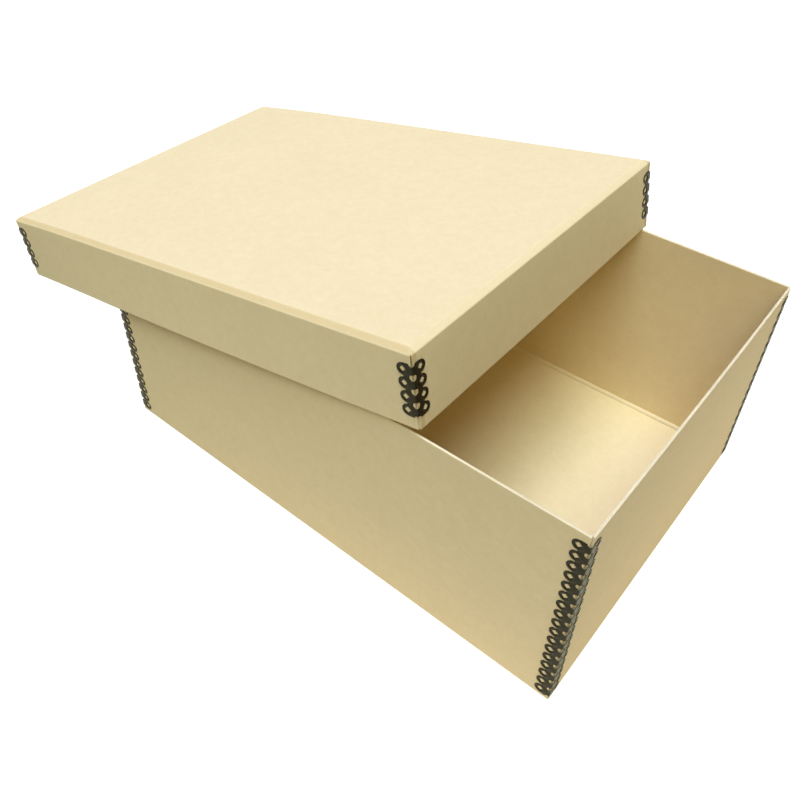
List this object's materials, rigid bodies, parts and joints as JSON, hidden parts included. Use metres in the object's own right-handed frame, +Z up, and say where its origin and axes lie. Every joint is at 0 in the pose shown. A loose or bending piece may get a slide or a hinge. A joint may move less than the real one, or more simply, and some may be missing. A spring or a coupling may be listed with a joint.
{
  "type": "archival storage box",
  "caption": "Open board tray with a shallow lift-off lid, both folded from solid board and held at every corner by bent steel stays; the lid lies askew on the tray's rim.",
  "frame": {"origin": "centre of the tray's underside", "axes": "+Z up, +X along the long walls towards the end that the lid leaves open, -Y towards the front long wall"},
  "size_m": [0.4765, 0.2628, 0.2035],
  "materials": {
    "board": "uncoated tan solid board, faintly mottled, with paler cut edges",
    "lid_board": "uncoated tan solid board, faintly mottled, with paler cut edges",
    "steel_stay": "black lacquered thin steel strip, semi-gloss, slightly rubbed at the rims of its holes"
  },
  "bodies": {
    "tray": {"tray_board": "board", "tray_stay_front_right": "steel_stay", "tray_stay_front_left": "steel_stay", "tray_stay_back_right": "steel_stay", "tray_stay_back_left": "steel_stay"},
    "lid": {"lid_board": "lid_board", "lid_stay_front_right": "steel_stay", "lid_stay_front_left": "steel_stay", "lid_stay_back_right": "steel_stay", "lid_stay_back_left": "steel_stay"}
  },
  "joints": [
    {"name": "lid_lift", "type": "slide", "parent": "tray", "child": "lid", "axis": [0, 0, 1], "range_m": [0, 0.12]}
  ]
}
